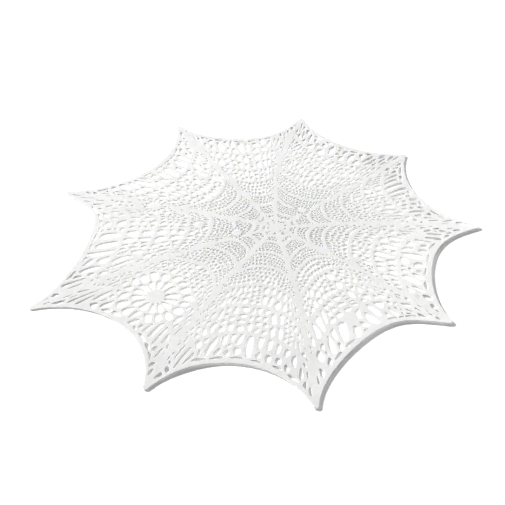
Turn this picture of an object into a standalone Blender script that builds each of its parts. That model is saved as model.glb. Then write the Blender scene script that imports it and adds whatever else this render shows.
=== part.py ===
"""Spider-web table mat: one flexible sheet of white vinyl with nine points, cut through
between its hub, its nine spokes and its ring threads.

Metres, +Z up. The sheet lies on z = 0, and the origin is under the middle of its box.
Every plan length below is a share of TIP_CIRCLE_M, except where its name ends in _M.
"""

import math

import bpy
from mathutils import Vector

# The sheet
TIP_CIRCLE_M = 0.190
THICKNESS_M = 0.0012
SHEET_NAME = "web_mat"

# The nine points, counter-clockwise: the angle from +X in degrees, and the reach.
TIPS = (
    (1.4, 1.020),
    (38.5, 0.988),
    (74.3, 1.023),
    (111.8, 1.010),
    (157.1, 0.962),
    (204.9, 1.021),
    (244.7, 0.980),
    (282.2, 1.022),
    (323.5, 0.976),
)
TIP_ROUNDING = 0.012

# The bay after each point: how deep it cuts in, and how far its deepest place leans
# towards the next point.
BAY_DEPTHS = (0.113, 0.087, 0.146, 0.159, 0.163, 0.166, 0.163, 0.140, 0.137)
BAY_LEANS = (-0.005, -0.004, -0.034, -0.014, -0.123, 0.006, 0.004, 0.083, 0.043)

# The web: its hub, and how far each spoke bows to its left on the way out.
HUB = (0.110, 0.060)
SPOKE_BOWS = (0.030, -0.010, 0.055, 0.000, -0.025, -0.040, -0.030, 0.025, 0.020)
HALF_SPOKE = 0.012
HALF_THREAD = 0.006
HALF_BAR = 0.006
RIM_WIDTH = 0.026

# The ring threads, as shares of the way out along the spokes, and how many openings
# each sector has between one thread and the next. The threads sag more deeply near the
# hub than the bays do at the rim.
RING_SHARES = (0.100, 0.165, 0.255, 0.370, 0.520, 0.680, 0.845, 1.000)
SAG_GAIN = 0.85
OPENINGS_ACROSS = (2, 3, 4, 5, 6, 7, 8)
OPENING_CORNERS = 8
OPENING_FULLNESS = 1.06

# How finely the curved edges are drawn
BAY_STEPS = 14
TIP_STEPS = 4

VINYL_COLOUR = (0.86, 0.86, 0.86, 1.0)
VINYL_ROUGHNESS = 0.42


def at_angle(angle, reach):
    return Vector((math.cos(angle), math.sin(angle))) * reach


def tip_centre(index):
    """The centre of the rounding at one point of the sheet."""
    degrees, reach = TIPS[index % len(TIPS)]
    return at_angle(math.radians(degrees), reach - TIP_ROUNDING)


def bay_circle(index):
    """The centre and radius of the circle that a bay follows, touching both tip roundings."""
    start, end = tip_centre(index), tip_centre(index + 1)
    chord = end - start
    depth = BAY_DEPTHS[index % len(TIPS)]
    reach = depth + TIP_ROUNDING
    offset = (chord.length_squared / 4 - reach**2) / (2 * reach)
    outward = Vector((chord.y, -chord.x)).normalized()
    return (start + end) / 2 + outward * offset, offset + depth


def turn_towards(start, end, turn):
    """The end angle, brought within one turn of the start on the side that turn gives."""
    while (end - start) * turn < 0:
        end += turn * math.tau
    return end


def tip_arc(index):
    """The rounded end of one point, from the bay before it to the bay after it."""
    centre = tip_centre(index)
    before, after = bay_circle(index - 1)[0] - centre, bay_circle(index)[0] - centre
    start = math.atan2(before.y, before.x)
    end = turn_towards(start, math.atan2(after.y, after.x), 1)
    angles = (start + (end - start) * step / TIP_STEPS for step in range(TIP_STEPS + 1))
    return [centre + at_angle(angle, TIP_ROUNDING) for angle in angles]


def bay_arc(index):
    """The inner points of one bay's edge, leaning as the bay does."""
    start, end = tip_centre(index), tip_centre(index + 1)
    centre, radius = bay_circle(index)
    first, last = start - centre, end - centre
    angle = math.atan2(first.y, first.x)
    sweep = turn_towards(angle, math.atan2(last.y, last.x), -1) - angle
    along = (end - start).normalized()
    points = []
    for step in range(1, BAY_STEPS):
        share = step / BAY_STEPS
        lean = BAY_LEANS[index] * math.sin(math.pi * share) ** 2
        points.append(centre + at_angle(angle + sweep * share, radius) + along * lean)
    return points


def outline():
    points = []
    for index in range(len(TIPS)):
        points += tip_arc(index) + bay_arc(index)
    return points


def spoke_point(index, share):
    """A place on a spoke, at a share of the way from the hub to its tip."""
    hub, tip = Vector(HUB), tip_centre(index)
    way = tip - hub
    left = Vector((-way.y, way.x)).normalized()
    bow = SPOKE_BOWS[index % len(TIPS)] * math.sin(math.pi * share)
    return hub + way * share + left * bow


def thread_point(sector, share, across):
    """A place on the ring thread that crosses a sector, sagging towards the hub as its bay does."""
    start, end = spoke_point(sector, share), spoke_point(sector + 1, share)
    chord = end - start
    length = chord.length
    depth = (BAY_DEPTHS[sector] + RIM_WIDTH * share) * share * (1 + SAG_GAIN * (1 - share))
    offset = (length**2 / 4 - depth**2) / (2 * depth)
    radius = offset + depth
    angle = (2 * across - 1) * math.asin(length / 2 / radius)
    inward = Vector((-chord.y, chord.x)).normalized()
    lean = BAY_LEANS[sector] * share * math.sin(math.pi * across) ** 2
    along = 0.5 + (radius * math.sin(angle) + lean) / length
    return start + chord * along + inward * (radius * math.cos(angle) - offset)


def opening_shape():
    """A square with its corners cut off, from -1 to 1 both ways."""
    points = []
    for corner in range(OPENING_CORNERS):
        place = at_angle(math.tau * (corner + 0.5) / OPENING_CORNERS, OPENING_FULLNESS)
        points.append((place.x, place.y))
    return points


def opening(sector, ring, number):
    """The outline of one opening, between two ring threads and two cross bars."""
    inner, outer = RING_SHARES[ring], RING_SHARES[ring + 1]
    count = OPENINGS_ACROSS[ring]
    width = (spoke_point(sector + 1, inner) - spoke_point(sector, inner)).length
    spoke_margin, bar_margin = HALF_SPOKE / width, HALF_BAR / width
    step = (1 - 2 * spoke_margin) / count
    middle = spoke_margin + step * (number + 0.5)
    half_width = step / 2 - bar_margin
    half_height = (outer - inner) / 2 - HALF_THREAD
    return [
        thread_point(sector, (inner + outer) / 2 + half_height * y, middle + half_width * x)
        for x, y in opening_shape()
    ]


def all_openings():
    return [
        opening(sector, ring, number)
        for sector in range(len(TIPS))
        for ring, count in enumerate(OPENINGS_ACROSS)
        for number in range(count)
    ]


def box_middle(points):
    xs, ys = [point.x for point in points], [point.y for point in points]
    return Vector((min(xs) + max(xs), min(ys) + max(ys))) / 2


def add_closed_line(curve, points, middle):
    line = curve.splines.new("POLY")
    line.points.add(len(points) - 1)
    line.use_cyclic_u = True
    for place, point in zip(line.points, points):
        x, y = (point - middle) * TIP_CIRCLE_M
        place.co = (x, y, 0.0, 1.0)


def vinyl():
    material = bpy.data.materials.new("web_vinyl")
    material.use_nodes = True
    shader = material.node_tree.nodes["Principled BSDF"]
    shader.inputs["Base Color"].default_value = VINYL_COLOUR
    shader.inputs["Roughness"].default_value = VINYL_ROUGHNESS
    shader.inputs["Metallic"].default_value = 0.0
    return material


def make_sheet(collection):
    """The whole sheet: its outline and its openings, filled and given half its thickness each way."""
    edge = outline()
    middle = box_middle(edge)
    curve = bpy.data.curves.new(SHEET_NAME, "CURVE")
    curve.dimensions = "2D"
    curve.fill_mode = "BOTH"
    curve.extrude = THICKNESS_M / 2
    add_closed_line(curve, edge, middle)
    for points in all_openings():
        add_closed_line(curve, points, middle)
    curve.materials.append(vinyl())
    sheet = bpy.data.objects.new(SHEET_NAME, curve)
    sheet.location.z = THICKNESS_M / 2
    collection.objects.link(sheet)


def main():
    for old in list(bpy.data.objects):
        bpy.data.objects.remove(old)
    collection = bpy.data.collections.new("spider_web_mat")
    bpy.context.scene.collection.children.link(collection)
    make_sheet(collection)


main()
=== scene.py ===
"""The looks of the spider-web table mat: a lace of some two thousand four hundred openings
in one soft white vinyl sheet, laid on a pale table in a studio.

Metres, +Z up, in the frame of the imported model. The web is worked out in plan as shares of
the circle through its nine points, whose centre lies beside the frame's origin.
"""

import math
import random
from dataclasses import dataclass, field

import bpy
import numpy as np
from mathutils import Matrix, Vector
from mathutils.geometry import delaunay_2d_cdt


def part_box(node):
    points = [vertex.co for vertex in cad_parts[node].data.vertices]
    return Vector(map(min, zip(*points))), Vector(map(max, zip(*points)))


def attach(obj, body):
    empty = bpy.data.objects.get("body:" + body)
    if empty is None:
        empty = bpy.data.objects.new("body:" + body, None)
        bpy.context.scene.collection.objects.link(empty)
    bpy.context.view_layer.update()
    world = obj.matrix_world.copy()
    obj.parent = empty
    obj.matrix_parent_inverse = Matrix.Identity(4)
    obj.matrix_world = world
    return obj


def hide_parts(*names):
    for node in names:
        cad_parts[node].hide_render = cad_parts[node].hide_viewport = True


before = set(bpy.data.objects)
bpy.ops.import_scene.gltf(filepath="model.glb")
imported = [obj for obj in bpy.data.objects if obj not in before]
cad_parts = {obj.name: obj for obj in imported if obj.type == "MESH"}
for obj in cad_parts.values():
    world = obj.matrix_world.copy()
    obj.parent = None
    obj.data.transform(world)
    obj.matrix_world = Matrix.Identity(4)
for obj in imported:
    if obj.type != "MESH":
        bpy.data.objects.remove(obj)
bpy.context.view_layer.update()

# The nine points, counter-clockwise: the angle from +X in degrees, and the reach.
TIPS = (
    (1.4, 1.020),
    (38.5, 0.988),
    (74.3, 1.023),
    (111.8, 1.010),
    (157.1, 0.962),
    (204.9, 1.021),
    (244.7, 0.980),
    (282.2, 1.022),
    (323.5, 0.976),
)
TIP_ROUNDING = 0.012
SIDES = len(TIPS)

# The bay after each point: how deep it cuts in, and how far its deepest place leans
# towards the next point.
BAY_DEPTHS = (0.113, 0.087, 0.146, 0.159, 0.163, 0.166, 0.163, 0.140, 0.137)
BAY_LEANS = (-0.005, -0.004, -0.034, -0.014, -0.123, 0.006, 0.004, 0.083, 0.043)
BAY_STEPS = 56
TIP_STEPS = 10

# The web: its hub, its spokes and its ring threads, which are shares of the way out. The
# ring threads sag more deeply near the hub than the bays do at the rim.
HUB = (0.110, 0.060)
SPOKE_BOWS = (0.030, -0.010, 0.055, 0.000, -0.025, -0.040, -0.030, 0.025, 0.020)
SPOKE_HALF_WIDTHS = (0.0065, 0.0110)
RIM_WIDTH = 0.022
RING_SHARES = (0.035, 0.095, 0.155, 0.250, 0.370, 0.520, 0.680, 0.845, 1.000)
RING_WANDER = 0.06
SAG_GAIN = 0.85
THREAD_HALF_WIDTHS = (0.0080, 0.0092)
BAR_SHARES = (0.30, 0.46)

# The openings of each band between two ring threads: how far apart, and how much longer
# than wide. The inner bands hold rows of small holes, and the outer ones columns of slots.
OPENING_PITCHES = (0.0140, 0.0140, 0.0140, 0.0150, 0.0185, 0.0245, 0.0300, 0.0355)
OPENING_ASPECTS = (1.0, 1.1, 1.15, 1.2, 1.3, 1.5, 1.6, 1.9)
FIRST_SLOT_BAND = 5
SECTOR_SCALES = (0.86, 0.90, 0.90, 1.00, 1.10, 1.08, 1.04, 1.00, 0.93)

# Towards the spokes the openings lean like a feather's barbs.
BARB_LEAN = 0.35
BARB_GROWTH = 1.6
GRAIN_JITTER = 0.25

# Every other row of holes is shifted sideways. The jitters are across and outwards, as
# shares of a step.
ROW_SHIFT = 0.25
HOLE_JITTER = (0.24, 0.26)
SLOT_JITTER = (0.15, 0.18)

# The slots from the spokes to the sector's middle: how wide and how much longer they are,
# and how far single columns differ from that.
SLOT_WIDTHS = (0.66, 1.10)
SLOT_LENGTHS = (2.0, 1.0)
SLOT_WIDTH_SPREAD = (0.70, 1.35)
SLOT_LENGTH_SPREAD = (0.50, 1.35)

# A few thin slits run along the rim, in the middle of each bay.
SLIT_SHARE = 0.985
SLIT_THICKNESS = 0.016
SLIT_LENGTHS = (0.04, 0.10)
SLIT_STRETCH = (0.22, 0.80)
SLIT_CHANCE = 0.75

# How the openings' outlines are worked out and drawn
LINE_STEPS = 60
SLOPE_STEP = 0.002
CELL_REACH = 0.13
NEIGHBOURS = 18
OVERGROWTH = 1.35
SMALLEST_OPENING = 0.00003
CURVE_STEP = 0.0105
CURVE_POINTS = (8, 22)
WAVER = 0.0045
WAVER_RATE = 47.0

# The small flower-like webs: centre, solid radius, and rings of petals as radius, number
# and aspect.
FLOWERS = (
    ((-0.410, -0.375), 0.040, ((0.078, 14, 2.0), (0.130, 18, 1.3))),
    ((-0.070, 0.030), 0.020, ((0.033, 13, 1.3),)),
    ((0.235, 0.185), 0.016, ((0.028, 12, 1.3),)),
    ((-0.240, 0.090), 0.018, ((0.031, 12, 1.3),)),
    ((-0.450, 0.240), 0.024, ((0.044, 12, 1.6),)),
)
PETAL_JITTER = 0.12
PETAL_REACHES = (0.96, 1.04)

# The small solid patches, as centre and radius, and how far around them openings give way
KNOTS = (
    ((0.220, -0.770), 0.024),
    ((0.380, -0.530), 0.030),
    ((0.455, -0.175), 0.016),
    ((-0.430, -0.140), 0.018),
)
KNOT_REACH = 0.10

# The sheet's section, in metres
EDGE_BEVEL_M = 0.00018
REST_GAP_M = 0.0001
WAVE_HEIGHT_M = 0.0002

# The sheet arches a little behind its front left point, which droops to the table.
FRONT_TIP = 6
ARCH_PLACE = 0.17
ARCH_SPREAD = 0.09
ARCH_HEIGHT_M = 0.0009

# The rim lifts a little off the table, most of all on the right and in front.
CURL_SIDE = -35.0
CURL_REACH = 0.05
CURL_HEIGHT_M = 0.0014

# The vinyl
FACE_TONE = 0.68
CLOUD_TONE = 0.965
CLOUD_SCALE = 22.0
FACE_ROUGHNESS = 0.28
STREAK_DEPTH = 0.06
STREAK_SCALE = 60.0
GRAIN_SCALE = 1400.0
GRAIN_HEIGHT_M = 0.0001
MILKINESS = 0.9
MILKY_DEPTH_M = 0.0015

# The pale table, with a painted glow in its surface under the mat: emission, not a lamp, brightest
# beneath the lace and fading past its rim, so the table shows bright through the openings and
# darker in the shadow beyond the rim. For the glow's outer edge and its core, the centre, the radii
# between which the glow fades, and the glow there
TABLE_TONE = 0.95
TABLE_ROUGHNESS = 0.9
TABLE_GLOSS = 0.2
TABLE_RADIUS_M = 0.8
PAINTED_GLOW_EDGE = ((-0.008, 0.006, 0.0), (0.130, 0.157), (0.52, 0.17))
PAINTED_GLOW_CORE = ((0.012, 0.008, 0.0), (0.030, 0.095), (0.26, 0.52))

# The studio: its pale walls and dimmer ceiling, by the height of the line of sight, and its
# softboxes as name, azimuth, elevation, distance and size in metres, and power in watts
WALL_LIGHT = 1.0
WALL_TOP = 0.10
CEILING_START = 0.30
CEILING_LIGHT = 0.05
SOFTBOXES = (
    ("key", 148.0, 38.0, 4.0, 0.8, 300.0),
    ("back", 58.0, 40.0, 1.6, 0.5, 5.0),
)

# The camera
LENS_MM = 64.16
CAMERA_ELEVATION = 40.05
CAMERA_ROLL = -1.5
CAMERA_DISTANCE_M = 0.7511
LOOK_AT = (-0.0092, -0.0181, 0.0)

SEED = 11


def polar(angle, reach):
    return np.array((math.cos(angle), math.sin(angle))) * reach


def unit(vector):
    return vector / np.hypot(*vector)


def blend_pair(pair, share):
    return pair[0] + (pair[1] - pair[0]) * share


def jitter(rng, reach):
    """A random number up to a reach either way."""
    return rng.uniform(-reach, reach)


def tip_centre(index):
    degrees, reach = TIPS[index % SIDES]
    return polar(math.radians(degrees), reach - TIP_ROUNDING)


def bay_circle(index):
    """The centre and radius of the circle that a bay follows, touching both tip roundings."""
    start, end = tip_centre(index), tip_centre(index + 1)
    chord = end - start
    depth = BAY_DEPTHS[index % SIDES]
    reach = depth + TIP_ROUNDING
    offset = (chord @ chord / 4 - reach**2) / (2 * reach)
    outward = unit(np.array((chord[1], -chord[0])))
    return (start + end) / 2 + outward * offset, offset + depth


def turn_towards(start, end, turn):
    while (end - start) * turn < 0:
        end += turn * math.tau
    return end


def tip_arc(index):
    centre = tip_centre(index)
    before, after = bay_circle(index - 1)[0] - centre, bay_circle(index)[0] - centre
    start = math.atan2(before[1], before[0])
    end = turn_towards(start, math.atan2(after[1], after[0]), 1)
    return [centre + polar(angle, TIP_ROUNDING) for angle in np.linspace(start, end, TIP_STEPS + 1)]


def bay_arc(index):
    start, end = tip_centre(index), tip_centre(index + 1)
    centre, radius = bay_circle(index)
    first, last = start - centre, end - centre
    angle = math.atan2(first[1], first[0])
    sweep = turn_towards(angle, math.atan2(last[1], last[0]), -1) - angle
    along = unit(end - start)
    points = []
    for step in range(1, BAY_STEPS):
        share = step / BAY_STEPS
        lean = BAY_LEANS[index] * math.sin(math.pi * share) ** 2
        points.append(centre + polar(angle + sweep * share, radius) + along * lean)
    return points


def outline():
    points = []
    for index in range(SIDES):
        points += tip_arc(index) + bay_arc(index)
    return points


def spoke_point(index, share):
    hub, tip = np.array(HUB), tip_centre(index)
    way = tip - hub
    left = unit(np.array((-way[1], way[0])))
    return hub + way * share + left * SPOKE_BOWS[index % SIDES] * math.sin(math.pi * share)


def thread_arc(sector, share):
    """The ends of a ring thread in one sector, and the circle that it follows."""
    start, end = spoke_point(sector, share), spoke_point(sector + 1, share)
    length = np.hypot(*(end - start))
    depth = (BAY_DEPTHS[sector] + RIM_WIDTH * share) * share * (1 + SAG_GAIN * (1 - share))
    offset = (length**2 / 4 - depth**2) / (2 * depth)
    return start, end, offset, offset + depth


def thread_point(sector, share, across):
    """A place on a ring thread, which sags towards the hub as its sector's bay does."""
    start, end, offset, radius = thread_arc(sector, share)
    chord = end - start
    length = np.hypot(*chord)
    angle = (2 * across - 1) * math.asin(length / 2 / radius)
    inward = np.array((-chord[1], chord[0])) / length
    lean = BAY_LEANS[sector] * share * math.sin(math.pi * across) ** 2
    along = radius * math.sin(angle) / length + 0.5 + lean / length
    return start + chord * along + inward * (radius * math.cos(angle) - offset)


def thread_length(sector, share):
    start, end, _, radius = thread_arc(sector, share)
    return 2 * radius * math.asin(np.hypot(*(end - start)) / 2 / radius)


def along_spoke(sector, share, across):
    """The direction outwards at one place in a sector."""
    inner = thread_point(sector, share - SLOPE_STEP, across)
    return unit(thread_point(sector, share, across) - inner)


def along_thread(sector, share, across):
    """The direction of the ring threads at one place in a sector."""
    low, high = max(across - SLOPE_STEP, 0.0), min(across + SLOPE_STEP, 1.0)
    return unit(thread_point(sector, share, high) - thread_point(sector, share, low))


@dataclass
class Seed:
    """The middle of one opening, and what shapes the opening around it."""

    place: np.ndarray
    grain: np.ndarray
    size: float
    aspect: float
    bar: float
    region: tuple
    walls: list = field(default_factory=list)

    def metric(self):
        squeeze = 1 - 1 / self.aspect**2
        return np.eye(2) - np.outer(self.grain, self.grain) * squeeze

    def keep_in_reach(self):
        """Keeps an opening from growing far past its own size where a neighbour is missing."""
        across = np.array((-self.grain[1], self.grain[0]))
        for normal, reach in ((self.grain, self.size * self.aspect), (across, self.size)):
            for side in (normal, -normal):
                self.walls.append((side, side @ self.place + reach * OVERGROWTH))


def wall_along(line, index, side, half_width):
    """The straight edge that keeps an opening clear of a thread, to the left of it or right."""
    before, after = line[max(index - 1, 0)], line[min(index + 1, len(line) - 1)]
    run = unit(after - before)
    normal = np.array((-run[1], run[0])) * side
    return normal, normal @ line[index] - half_width


def nearest_index(line, place):
    return int(np.argmin(((line - place) ** 2).sum(axis=1)))


@dataclass
class Sector:
    """One sector's spokes and ring threads as lines, and the openings' limits set by them."""

    index: int
    rings: list

    def __post_init__(self):
        steps = np.linspace(0, 1, LINE_STEPS + 1)
        self.spokes = [
            np.array([spoke_point(spoke, share) for share in steps])
            for spoke in (self.index, self.index + 1)
        ]
        self.threads = [
            np.array([thread_point(self.index, share, across) for across in steps])
            for share in self.rings
        ]

    def walls(self, band, place, share, pitch):
        """The edges set by the two ring threads and the two spokes around an opening."""
        half_thread = blend_pair(THREAD_HALF_WIDTHS, share)
        half_spoke = blend_pair(SPOKE_HALF_WIDTHS, share)
        inner, outer = self.threads[band], self.threads[band + 1]
        is_rim = band == len(self.rings) - 2
        nearest = nearest_index(inner, place)
        aside = max(1, round(pitch / np.hypot(*(inner[-1] - inner[0])) / 2 * LINE_STEPS))
        walls = [wall_along(outer, nearest_index(outer, place), -1, 0.0 if is_rim else half_thread)]
        for index in (nearest - aside, nearest, nearest + aside):
            walls.append(wall_along(inner, min(max(index, 0), LINE_STEPS), 1, half_thread))
        for spoke, side in zip(self.spokes, (-1, 1)):
            walls.append(wall_along(spoke, nearest_index(spoke, place), side, half_spoke))
        return walls


def rows_of_holes(width, height, pitch, aspect, rng):
    """Staggered rows of small holes: places across and outwards from 0 to 1, size and aspect."""
    rows = max(1, round(height / (pitch * aspect)))
    columns = max(1, round(width / pitch))
    places = []
    for row in range(rows):
        shift = ROW_SHIFT if row % 2 else -ROW_SHIFT
        for column in range(columns):
            across = (column + 0.5 + shift + jitter(rng, HOLE_JITTER[0])) / columns
            outwards = (row + 0.5 + jitter(rng, HOLE_JITTER[1])) / rows
            places.append((across, outwards, pitch / 2, aspect))
    return places


def columns_of_slots(width, height, pitch, aspect, rng):
    """Columns of longer openings, narrow and long beside the spokes, and wider between them."""
    widths = []
    while sum(widths) < width:
        between = math.sin(math.pi * min(sum(widths) / width, 1.0))
        widths.append(pitch * blend_pair(SLOT_WIDTHS, between) * rng.uniform(*SLOT_WIDTH_SPREAD))
    scale = width / sum(widths)
    places = []
    edge = 0.0
    for own in widths:
        own *= scale
        across = (edge + own / 2) / width
        edge += own
        own_aspect = aspect * blend_pair(SLOT_LENGTHS, math.sin(math.pi * across))
        rows = max(1, round(height / (own * own_aspect * rng.uniform(*SLOT_LENGTH_SPREAD))))
        for row in range(rows):
            sideways = across + jitter(rng, SLOT_JITTER[0]) * own / width
            outwards = (row + 0.5 + jitter(rng, SLOT_JITTER[1])) / rows
            places.append((sideways, outwards, own / 2, height / rows / own))
    return places


def band_places(sector, band, rng):
    """Where the openings of a band lie, clear of the threads and spokes around them."""
    inner, outer = sector.rings[band], sector.rings[band + 1]
    middle = (inner + outer) / 2
    pitch, aspect = band_pitch(sector, band), OPENING_ASPECTS[band]
    width = thread_length(sector.index, middle)
    low, high = (thread_point(sector.index, share, 0.5) for share in (inner, outer))
    height = np.hypot(*(high - low))
    side = blend_pair(SPOKE_HALF_WIDTHS, middle) / width
    end = blend_pair(THREAD_HALF_WIDTHS, middle) / height
    clear_width, clear_height = width * (1 - 2 * side), height * (1 - 2 * end)
    if clear_width < pitch / 2:
        return []
    fill = rows_of_holes if band < FIRST_SLOT_BAND else columns_of_slots
    places = []
    for across, outwards, size, own_aspect in fill(clear_width, clear_height, pitch, aspect, rng):
        across = side + across * (1 - 2 * side)
        share = inner + (outer - inner) * (end + outwards * (1 - 2 * end))
        places.append((min(max(across, 0.005), 0.995), share, size, own_aspect))
    return places


def band_pitch(sector, band):
    return OPENING_PITCHES[band] * (1 + (SECTOR_SCALES[sector.index] - 1) * sector.rings[band])


def band_seeds(sector, band, rng):
    """The seeds of one band, between two ring threads of one sector."""
    seeds = []
    for across, share, size, aspect in band_places(sector, band, rng):
        place = thread_point(sector.index, share, across)
        barb = BARB_LEAN * (2 * across - 1) * min(1.0, share * BARB_GROWTH)
        along = along_thread(sector.index, share, across)
        sideways = along * (barb + jitter(rng, GRAIN_JITTER) * share)
        grain = unit(along_spoke(sector.index, share, across) + sideways)
        walls = sector.walls(band, place, share, band_pitch(sector, band))
        bar = 2 * size * blend_pair(BAR_SHARES, share)
        seeds.append(Seed(place, grain, size, aspect, bar, (sector.index, band), walls))
    return seeds


def slit_seeds(sector, rng):
    """The seeds of the thin slits along one bay's rim."""
    band = len(sector.rings) - 2
    width = thread_length(sector.index, SLIT_SHARE)
    seeds = []
    across = SLIT_STRETCH[0]
    while across < SLIT_STRETCH[1]:
        length = rng.uniform(*SLIT_LENGTHS)
        middle = across + length / width / 2
        place = thread_point(sector.index, SLIT_SHARE, middle)
        grain = along_thread(sector.index, SLIT_SHARE, middle)
        walls = sector.walls(band, place, SLIT_SHARE, length)
        bar = SLIT_THICKNESS * BAR_SHARES[0]
        shape = (SLIT_THICKNESS / 2, length / SLIT_THICKNESS, bar)
        seed = Seed(place, grain, *shape, (sector.index, band), walls)
        if rng.random() < SLIT_CHANCE:
            seeds.append(seed)
        across += length / width
    return seeds


def rim_wall(place, edge):
    """The edge that keeps an opening off the rim nearest to it."""
    nearest = edge[np.argmin(((edge - place) ** 2).sum(axis=1))]
    outward = unit(nearest - place)
    return outward, outward @ nearest - RIM_WIDTH


def flower_seeds(flower, rng):
    """The petals of one flower, pointing out from its solid middle."""
    centre, solid, rings = flower
    centre = np.array(centre)
    edge = np.array(outline())
    seeds = []
    for ring, (radius, count, aspect) in enumerate(rings):
        start = rng.uniform(0, math.tau)
        for petal in range(count):
            angle = start + math.tau * (petal + jitter(rng, PETAL_JITTER)) / count
            grain = polar(angle, 1.0)
            place = centre + grain * radius * rng.uniform(*PETAL_REACHES)
            walls = [rim_wall(place, edge)]
            if ring == 0:
                walls.append((-grain, -grain @ centre - solid))
            size = math.pi * radius / count
            bar = 2 * size * BAR_SHARES[0]
            seeds.append(Seed(place, grain, size, aspect, bar, ("flower",), walls))
    return seeds


def flower_reach(flower):
    """How far a flower's petals reach from its centre."""
    _, solid, rings = flower
    if len(rings) == 1:
        return 2 * rings[0][0] - solid
    return rings[-1][0] + (rings[-1][0] - rings[-2][0]) / 2


def seeds_clear_of_flowers(seeds):
    """Drops the seeds that lie inside a flower or a knot, and walls the rest off the knots."""
    kept = []
    for seed in seeds:
        if any(np.hypot(*(seed.place - np.array(f[0]))) < flower_reach(f) for f in FLOWERS):
            continue
        if any(np.hypot(*(seed.place - np.array(c))) < r for c, r in KNOTS):
            continue
        for centre, radius in KNOTS:
            towards = np.array(centre) - seed.place
            if np.hypot(*towards) < radius + KNOT_REACH:
                normal = unit(towards)
                seed.walls.append((normal, normal @ np.array(centre) - radius))
        kept.append(seed)
    return kept


def all_seeds():
    rng = random.Random(SEED)
    seeds = []
    for index in range(SIDES):
        rings = [share ** (1 + rng.uniform(-1, 1) * RING_WANDER) for share in RING_SHARES]
        sector = Sector(index, rings)
        for band in range(len(OPENING_PITCHES)):
            seeds += band_seeds(sector, band, rng)
        seeds += slit_seeds(sector, rng)
    seeds = seeds_clear_of_flowers(seeds)
    for flower in FLOWERS:
        seeds += flower_seeds(flower, rng)
    for seed in seeds:
        seed.keep_in_reach()
    return seeds


def cut(polygon, normal, limit):
    """The part of a convex polygon on the near side of a straight edge."""
    nx, ny = float(normal[0]), float(normal[1])
    kept = []
    for (ax, ay), (bx, by) in zip(polygon, polygon[1:] + polygon[:1]):
        a, b = ax * nx + ay * ny - limit, bx * nx + by * ny - limit
        if a <= 0:
            kept.append((ax, ay))
        if a * b < 0:
            share = a / (a - b)
            kept.append((ax + (bx - ax) * share, ay + (by - ay) * share))
    return kept


def area(polygon):
    return sum(a[0] * b[1] - b[0] * a[1] for a, b in zip(polygon, polygon[1:] + polygon[:1])) / 2


def extent(seed, metric, direction):
    """How far a seed's own opening reaches in one direction."""
    return seed.size / math.sqrt(direction @ metric @ direction)


def cell_around(index, seeds, places, metrics, rivals):
    """The opening around one seed: its share of the space between its neighbours, less the bars."""
    seed = seeds[index]
    x, y = (float(value) for value in seed.place)
    west, east, south, north = x - CELL_REACH, x + CELL_REACH, y - CELL_REACH, y + CELL_REACH
    cell = [(west, south), (east, south), (east, north), (west, north)]
    for normal, limit in seed.walls:
        cell = cut(cell, normal, limit)
    by_distance = np.argsort(((places[rivals] - seed.place) ** 2).sum(axis=1))
    for other in rivals[by_distance[1 : NEIGHBOURS + 1]]:
        gap = places[other] - seed.place
        direction = unit(gap)
        own = extent(seed, metrics[index], direction)
        share = own / (own + extent(seeds[other], metrics[other], direction))
        normal = unit((metrics[index] + metrics[other]) @ gap)
        bar = (seed.bar + seeds[other].bar) / 4
        cell = cut(cell, normal, normal @ (seed.place + gap * share) - bar)
        if len(cell) < 3:
            return []
    return cell


def rounded(polygon):
    """The polygon with its corners cut off twice, which leaves a smooth closed curve."""
    for _ in range(2):
        corners = []
        for (ax, ay), (bx, by) in zip(polygon, polygon[1:] + polygon[:1]):
            corners.append((ax * 0.75 + bx * 0.25, ay * 0.75 + by * 0.25))
            corners.append((ax * 0.25 + bx * 0.75, ay * 0.25 + by * 0.75))
        polygon = corners
    return polygon


def evenly_spaced(polygon):
    """The same closed curve as points an even step apart, more of them on a longer curve."""
    loop = np.array(polygon + polygon[:1])
    runs = np.hypot(*np.diff(loop, axis=0).T)
    along = np.concatenate(([0.0], np.cumsum(runs)))
    fewest, most = CURVE_POINTS
    count = int(min(max(round(along[-1] / CURVE_STEP), fewest), most))
    at = np.arange(count) * along[-1] / count
    return np.stack([np.interp(at, along, loop[:, axis]) for axis in (0, 1)], axis=1)


def unsteady(loop):
    """The same loop with the small waver of a hand-drawn line."""
    x, y = loop[:, 0], loop[:, 1]
    sway = np.sin(WAVER_RATE * x + 9 * y) + np.sin(0.6 * WAVER_RATE * y - 7 * x)
    lilt = np.cos(WAVER_RATE * y - 8 * x) + np.cos(0.7 * WAVER_RATE * x + 6 * y)
    return loop + WAVER / 2 * np.stack((sway, lilt), axis=1)


def all_openings():
    """The outline of every opening, as even points, counter-clockwise."""
    seeds = all_seeds()
    places = np.array([seed.place for seed in seeds])
    metrics = [seed.metric() for seed in seeds]
    members = {}
    for index, seed in enumerate(seeds):
        members.setdefault(seed.region, []).append(index)
    petals = members[("flower",)]
    openings = []
    for index, seed in enumerate(seeds):
        if seed.region == ("flower",):
            rivals = np.arange(len(seeds))
        else:
            rivals = np.array(members[seed.region] + petals)
        cell = cell_around(index, seeds, places, metrics, rivals)
        if len(cell) >= 3 and area(cell) > SMALLEST_OPENING:
            openings.append(unsteady(evenly_spaced(rounded(cell))))
    return openings


def sideways_normals(loop):
    """For a counter-clockwise loop, the direction at each point that leads out of it."""
    before, after = np.roll(loop, 1, axis=0), np.roll(loop, -1, axis=0)
    run = after - before
    normals = np.stack((run[:, 1], -run[:, 0]), axis=1)
    return normals / np.linalg.norm(normals, axis=1, keepdims=True)


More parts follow.
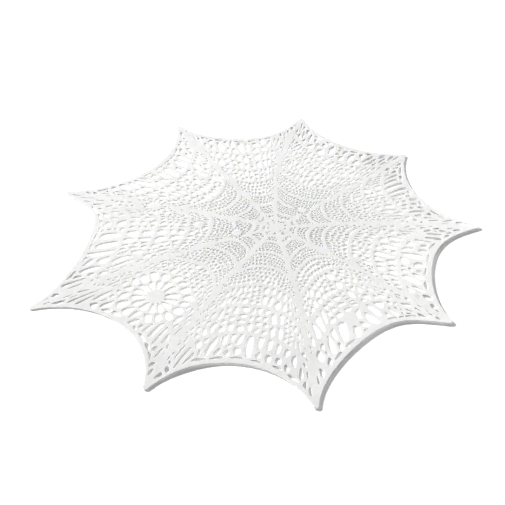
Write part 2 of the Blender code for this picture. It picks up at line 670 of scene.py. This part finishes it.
def lift(points, tip_circle):
    """How far the relaxed sheet stands off the table at each place, in metres."""
    x, y = points[:, 0] / tip_circle, points[:, 1] / tip_circle
    waves = 0.5 + 0.5 * np.sin(2.3 * x + 1.1 * y + 0.6) * np.cos(2.7 * y - 1.4 * x)
    front_tip = tip_centre(FRONT_TIP)
    from_tip = np.hypot(x - front_tip[0], y - front_tip[1])
    arch = np.exp(-(((from_tip - ARCH_PLACE) / ARCH_SPREAD) ** 2))
    edge = np.array(outline())
    from_rim = np.hypot(x[:, None] - edge[:, 0], y[:, None] - edge[:, 1]).min(axis=1)
    side = 0.5 + 0.5 * np.cos(np.arctan2(y, x) - math.radians(CURL_SIDE))
    curl = side**2 * np.exp(-((from_rim / CURL_REACH) ** 2))
    return REST_GAP_M + WAVE_HEIGHT_M * waves + ARCH_HEIGHT_M * arch + CURL_HEIGHT_M * curl


def lace_mesh(tip_circle, middle, thickness):
    """The whole sheet as one closed mesh: top, bevelled upper edges, walls and underside."""
    edge = np.array(outline())
    loops = [edge] + all_openings()
    starts = np.cumsum([0] + [len(loop) for loop in loops])
    into_sheet = [-1.0] + [1.0] * (len(loops) - 1)
    flat = [(loop - middle) * tip_circle for loop in loops]
    normals = [sideways_normals(loop) * side for loop, side in zip(flat, into_sheet)]
    wall = np.concatenate(flat)
    top = wall + np.concatenate(normals) * EDGE_BEVEL_M
    ranges = [list(range(start, end)) for start, end in zip(starts[:-1], starts[1:])]
    result = delaunay_2d_cdt([Vector(place) for place in top], [], ranges, 1, 1e-9, True)
    if not all(result[3]):
        raise ValueError("two openings cross each other or the rim")
    source = [points[0] for points in result[3]]
    filled = [face for face, loops_around in zip(result[2], result[5]) if loops_around == [0]]
    triangles = [[source[corner] for corner in face] for face in filled]
    count = len(wall)
    height = lift(wall + np.array(middle) * tip_circle, tip_circle)
    levels = (height + thickness, height + thickness - EDGE_BEVEL_M, height)
    rings = [np.column_stack((ring, level)) for ring, level in zip((top, wall, wall), levels)]
    underside = [[corner + 2 * count for corner in reversed(face)] for face in triangles]
    faces = triangles + underside
    for loop in [ranges[0][::-1]] + ranges[1:]:
        for first, second in zip(loop, loop[1:] + loop[:1]):
            for level in (0, 1):
                upper, lower = level * count, (level + 1) * count
                faces.append([first + upper, second + upper, second + lower, first + lower])
    mesh = bpy.data.meshes.new("web_lace")
    mesh.from_pydata(np.concatenate(rings), [], faces)
    return mesh


def add_sheet():
    low, high = (np.array(corner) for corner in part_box("web_mat"))
    edge = np.array(outline())
    span = edge.max(axis=0) - edge.min(axis=0)
    middle = (edge.max(axis=0) + edge.min(axis=0)) / 2
    tip_circle = float(((high - low)[:2] / span).mean())
    mesh = lace_mesh(tip_circle, middle, float(high[2] - low[2]))
    sheet = bpy.data.objects.new("web_lace", mesh)
    bpy.context.scene.collection.objects.link(sheet)
    return sheet


def node(owner, kind, **values):
    """A shader node with its settings and its inputs' values."""
    made = owner.node_tree.nodes.new(kind)
    for name, value in values.items():
        if hasattr(made, name):
            setattr(made, name, value)
        else:
            made.inputs[name.replace("_", " ").title()].default_value = value
    return made


def carried(owner, source, old, new):
    """A shader value carried from one range to another."""
    made = node(owner, "ShaderNodeMapRange")
    for name, value in zip(("From Min", "From Max", "To Min", "To Max"), (*old, *new)):
        made.inputs[name].default_value = value
    owner.node_tree.links.new(source, made.inputs["Value"])
    return made.outputs["Result"]


def vinyl(name):
    """Milky white vinyl with a satin skin: faint clouding, uneven gloss and a fine grain."""
    material = bpy.data.materials.new(name)
    material.use_nodes = True
    link = material.node_tree.links.new
    shader = material.node_tree.nodes["Principled BSDF"]
    where = node(material, "ShaderNodeTexCoord").outputs["Object"]
    clouds = node(material, "ShaderNodeTexNoise", scale=CLOUD_SCALE, detail=3.0)
    link(where, clouds.inputs["Vector"])
    tone = node(material, "ShaderNodeValToRGB")
    tone.color_ramp.elements[0].position = 0.3
    tone.color_ramp.elements[0].color = (*[FACE_TONE * CLOUD_TONE] * 3, 1.0)
    tone.color_ramp.elements[1].position = 0.7
    tone.color_ramp.elements[1].color = (*[FACE_TONE] * 3, 1.0)
    link(clouds.outputs["Fac"], tone.inputs["Fac"])
    link(tone.outputs["Color"], shader.inputs["Base Color"])
    streaks = node(material, "ShaderNodeTexNoise", scale=STREAK_SCALE, detail=5.0, roughness=0.6)
    link(where, streaks.inputs["Vector"])
    gloss = (FACE_ROUGHNESS - STREAK_DEPTH, FACE_ROUGHNESS + STREAK_DEPTH)
    link(carried(material, streaks.outputs["Fac"], (0.0, 1.0), gloss), shader.inputs["Roughness"])
    shader.inputs["Subsurface Weight"].default_value = MILKINESS
    shader.inputs["Subsurface Radius"].default_value = (1.0, 1.0, 0.9)
    shader.inputs["Subsurface Scale"].default_value = MILKY_DEPTH_M
    grain = node(material, "ShaderNodeTexVoronoi", scale=GRAIN_SCALE)
    link(where, grain.inputs["Vector"])
    bump = node(material, "ShaderNodeBump", strength=0.10, distance=GRAIN_HEIGHT_M)
    link(grain.outputs["Distance"], bump.inputs["Height"])
    link(bump.outputs["Normal"], shader.inputs["Normal"])
    return material


def painted_glow_around(material, centre, radii, glows):
    """Painted glow on the table, which changes evenly with the distance from a place on it."""
    away = node(material, "ShaderNodeVectorMath", operation="DISTANCE")
    away.inputs[1].default_value = centre
    place = node(material, "ShaderNodeTexCoord").outputs["Object"]
    material.node_tree.links.new(place, away.inputs[0])
    return carried(material, away.outputs["Value"], radii, glows)


def acrylic_with_painted_glow():
    """Matte white acrylic with a painted glow under the mat: emission in its surface, not a lamp.
    """
    material = bpy.data.materials.new("pale_table")
    material.use_nodes = True
    shader = material.node_tree.nodes["Principled BSDF"]
    shader.inputs["Base Color"].default_value = (*[TABLE_TONE] * 3, 1.0)
    shader.inputs["Roughness"].default_value = TABLE_ROUGHNESS
    shader.inputs["Specular IOR Level"].default_value = TABLE_GLOSS
    shader.inputs["Emission Color"].default_value = (1.0, 1.0, 1.0, 1.0)
    # The emission is painted glow: at each place, the lower of the edge glow and the core glow.
    ring = node(material, "ShaderNodeMath", operation="MINIMUM")
    link = material.node_tree.links.new
    link(painted_glow_around(material, *PAINTED_GLOW_EDGE), ring.inputs[0])
    link(painted_glow_around(material, *PAINTED_GLOW_CORE), ring.inputs[1])
    link(ring.outputs["Value"], shader.inputs["Emission Strength"])
    return material


def add_floor():
    bpy.ops.mesh.primitive_circle_add(radius=TABLE_RADIUS_M, vertices=128, fill_type="NGON")
    floor = bpy.context.object
    floor.name = "table_top"
    # The table's surface carries the painted glow under the mat.
    floor.data.materials.append(acrylic_with_painted_glow())


def add_softbox(name, azimuth, elevation, distance, size, watts):
    """A square area light that faces the mat from a direction, in degrees from +X."""
    light = bpy.data.lights.new(name, "AREA")
    light.shape = "SQUARE"
    light.size = size
    light.energy = watts
    box = bpy.data.objects.new(name, light)
    turn, rise = math.radians(azimuth), math.radians(elevation)
    out = Vector((math.cos(turn) * math.cos(rise), math.sin(turn) * math.cos(rise), math.sin(rise)))
    box.location = out * distance
    box.rotation_euler = out.to_track_quat("Z", "Y").to_euler()
    bpy.context.scene.collection.objects.link(box)


def add_studio():
    """Pale studio walls around a dimmer ceiling, and the softboxes."""
    world = bpy.data.worlds.new("studio")
    world.use_nodes = True
    link = world.node_tree.links.new
    backdrop = world.node_tree.nodes["Background"]
    backdrop.inputs["Color"].default_value = (1.0, 1.0, 1.0, 1.0)
    rise = node(world, "ShaderNodeSeparateXYZ").outputs["Z"]
    link(node(world, "ShaderNodeTexCoord").outputs["Generated"], rise.node.inputs["Vector"])
    glow = carried(world, rise, (WALL_TOP, CEILING_START), (WALL_LIGHT, CEILING_LIGHT))
    link(glow, backdrop.inputs["Strength"])
    bpy.context.scene.world = world
    for softbox in SOFTBOXES:
        add_softbox(*softbox)


def add_camera():
    camera = bpy.data.cameras.new("camera")
    camera.lens = LENS_MM
    camera.sensor_width = 36.0
    camera.clip_start, camera.clip_end = 0.01, 50.0
    stand = bpy.data.objects.new("camera", camera)
    rise, roll = math.radians(CAMERA_ELEVATION), math.radians(CAMERA_ROLL)
    back = Vector((0.0, -math.cos(rise), math.sin(rise)))
    right = Vector((1.0, 0.0, 0.0))
    up = back.cross(right)
    side = right * math.cos(roll) + up * math.sin(roll)
    top = up * math.cos(roll) - right * math.sin(roll)
    turn = Matrix((side, top, back)).transposed().to_4x4()
    stand.matrix_world = Matrix.Translation(Vector(LOOK_AT) + back * CAMERA_DISTANCE_M) @ turn
    bpy.context.scene.collection.objects.link(stand)
    bpy.context.scene.camera = stand
    bpy.context.scene.view_settings.view_transform = "Standard"


sheet = add_sheet()
sheet.data.materials.append(vinyl("satin_white_vinyl"))
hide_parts("web_mat")
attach(sheet, "root")
add_floor()
add_studio()
add_camera()
